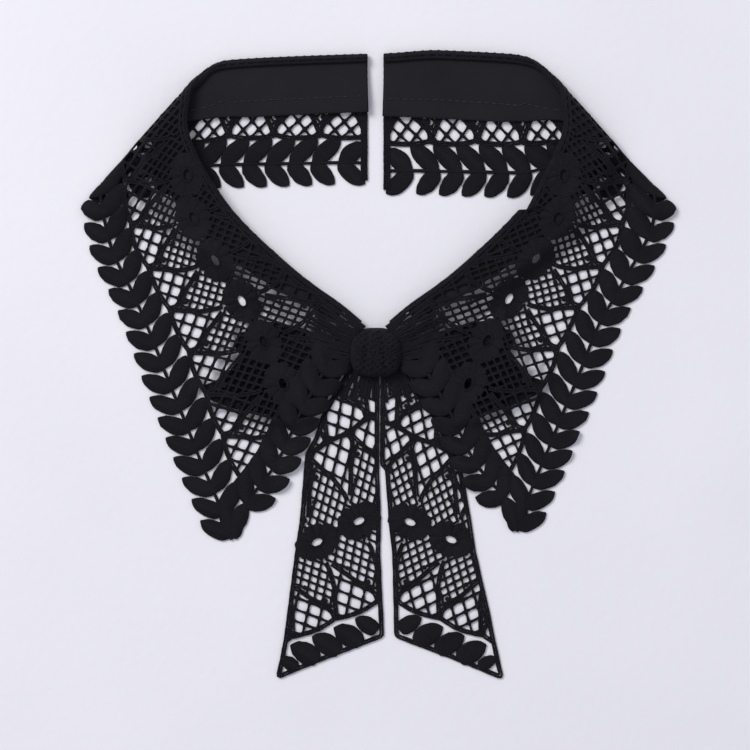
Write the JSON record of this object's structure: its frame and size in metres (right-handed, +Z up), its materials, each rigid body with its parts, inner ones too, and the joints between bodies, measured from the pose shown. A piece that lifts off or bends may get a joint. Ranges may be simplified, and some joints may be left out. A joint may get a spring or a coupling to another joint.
{
  "type": "lace collar",
  "caption": "Detachable black guipure lace collar with a woven stand and a lace bow, laid flat with its front wings folded over the back.",
  "frame": {"origin": "centre of the outline in plan, on the surface the collar lies on", "axes": "+X to the right in the picture, +Y towards the centre back, +Z up off the table"},
  "size_m": [0.2364, 0.2516, 0.0081],
  "materials": {
    "fall_left": "black satin-stitched lace",
    "fall_right": "black satin-stitched lace",
    "stand_left": "matte black woven cloth",
    "stand_right": "matte black woven cloth",
    "bow_loop_left": "black satin-stitched lace",
    "bow_loop_right": "black satin-stitched lace",
    "bow_knot": "black satin-stitched lace",
    "tail_left": "black satin-stitched lace",
    "tail_right": "black satin-stitched lace"
  },
  "bodies": {
    "root": {"fall_left": "fall_left", "fall_right": "fall_right", "stand_left": "stand_left", "stand_right": "stand_right", "bow_loop_left": "bow_loop_left", "bow_loop_right": "bow_loop_right", "bow_knot": "bow_knot", "tail_left": "tail_left", "tail_right": "tail_right"}
  },
  "joints": []
}
